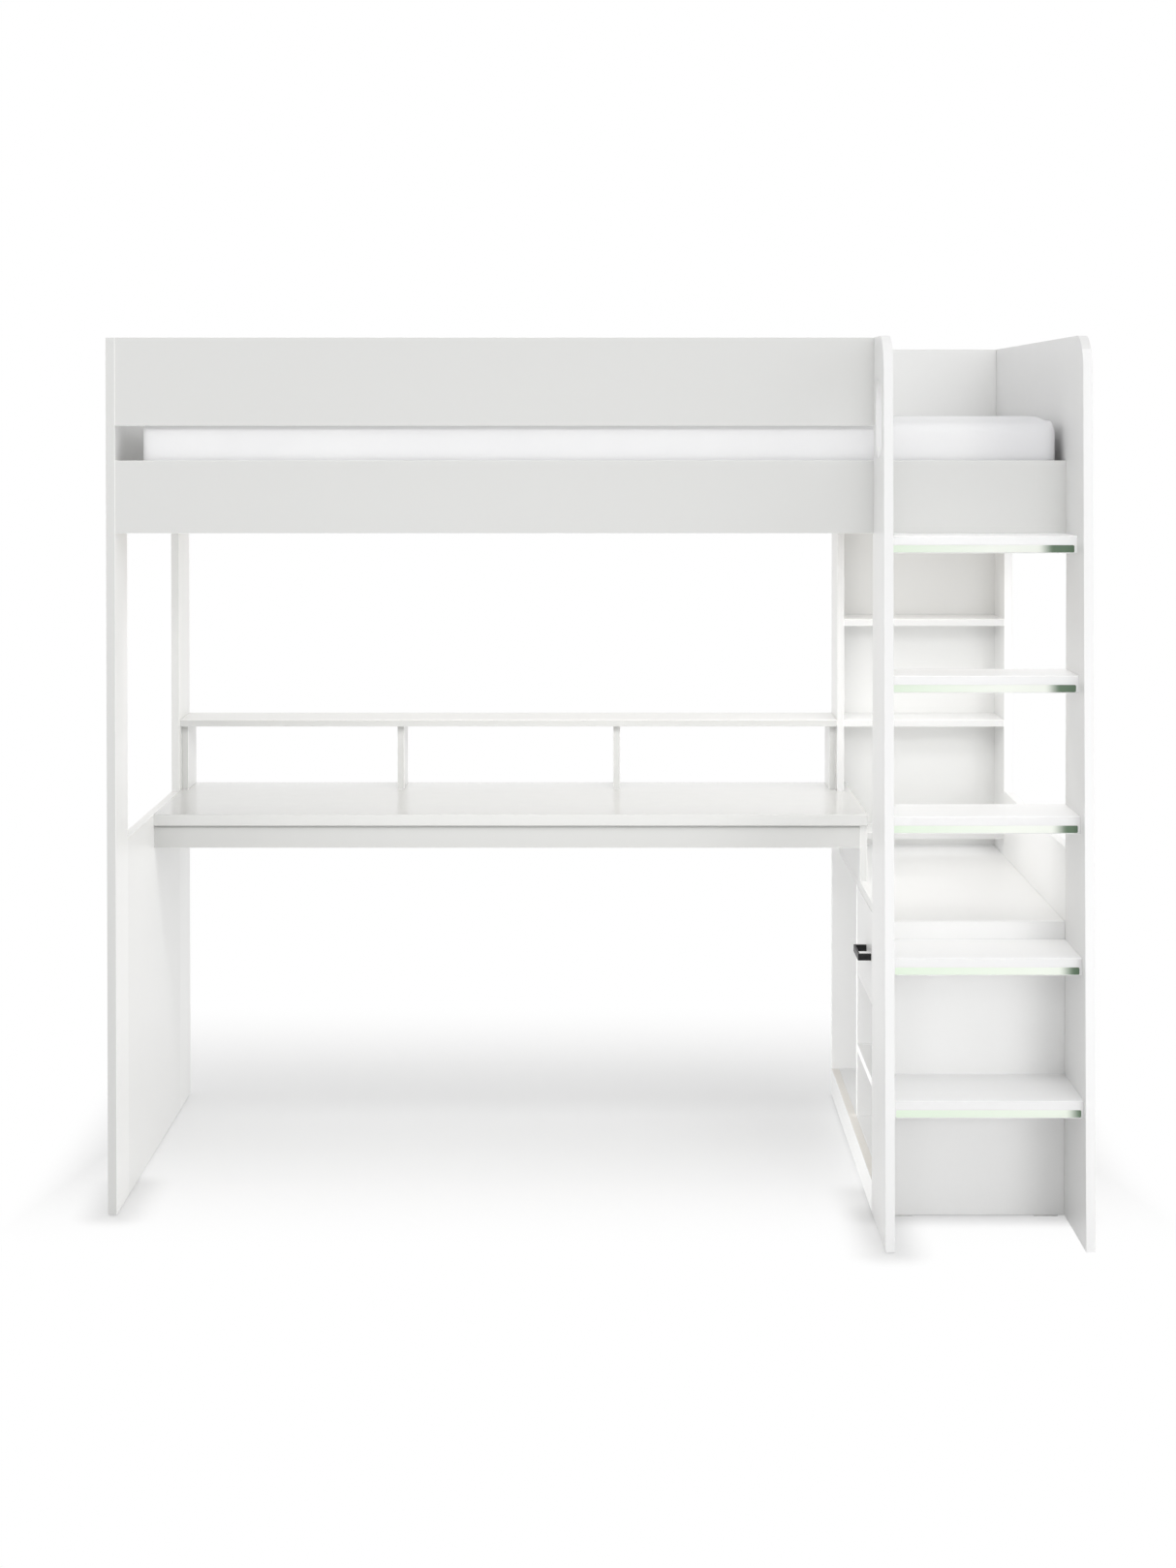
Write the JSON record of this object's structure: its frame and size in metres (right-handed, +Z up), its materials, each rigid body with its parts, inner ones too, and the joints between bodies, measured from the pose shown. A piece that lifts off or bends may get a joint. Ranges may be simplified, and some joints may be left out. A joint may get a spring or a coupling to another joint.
{
  "type": "loft bed with desk",
  "caption": "White loft bed with a ladder beside a side cabinet, a desk with a low hutch under the bed, an open bookcase and a sliding drawer.",
  "frame": {"origin": "on the floor, at the middle of the outside box", "axes": "+X along the bed from the open end to the ladder end, +Y from the ladder feet to the wall, +Z up"},
  "size_m": [2, 1.2, 1.82],
  "materials": {
    "white_board": "white satin laminate on board",
    "pale_wood": "sanded pale softwood",
    "green_strip": "green plastic strip",
    "black_metal": "satin black",
    "zinc_steel": "zinc plated",
    "glide_plastic": "white plastic",
    "mattress_cover": "white woven cover"
  },
  "bodies": {
    "bed": {"back_ledger": "pale_wood", "back_panel": "white_board", "bookcase_back": "white_board", "bookcase_bottom": "white_board", "bookcase_left_side": "white_board", "bookcase_lower_shelf": "white_board", "bookcase_upper_shelf": "white_board", "cabinet_back_panel": "white_board", "cabinet_bottom": "white_board", "cabinet_divider": "white_board", "cabinet_front_panel": "white_board", "cabinet_plinth": "white_board", "cabinet_runners": "zinc_steel", "cabinet_shelf": "white_board", "cabinet_top": "white_board", "desk_apron": "white_board", "desk_left_cleat": "white_board", "desk_right_support": "white_board", "desk_top": "white_board", "floor_glides": "glide_plastic", "front_guard": "white_board", "front_ledger": "pale_wood", "front_rail": "white_board", "hutch_divider_1": "white_board", "hutch_divider_2": "white_board", "hutch_left_upright": "white_board", "hutch_right_upright": "white_board", "hutch_top": "white_board", "ladder_left_side": "white_board", "ladder_screws": "zinc_steel", "ladder_tread_1": "white_board", "ladder_tread_2": "white_board", "ladder_tread_3": "white_board", "ladder_tread_4": "white_board", "ladder_tread_5": "white_board", "left_back_post": "white_board", "left_front_post": "white_board", "left_lower_panel": "white_board", "left_upper_panel": "white_board", "mattress": "mattress_cover", "rail_bolts": "zinc_steel", "rail_nuts": "zinc_steel", "right_back_post": "white_board", "right_end_panel": "white_board", "right_lower_panel": "white_board", "shelf_pins": "zinc_steel", "slats": "pale_wood", "tread_strips": "green_strip"},
    "drawer": {"drawer_front": "white_board", "drawer_near_side": "white_board", "drawer_far_side": "white_board", "drawer_back": "white_board", "drawer_bottom": "white_board", "drawer_runners": "zinc_steel", "drawer_handle": "black_metal", "handle_screws": "zinc_steel"}
  },
  "joints": [
    {"name": "drawer_slide", "type": "slide", "parent": "bed", "child": "drawer", "axis": [-1, 0, 0], "range_m": [0, 0.24]}
  ]
}
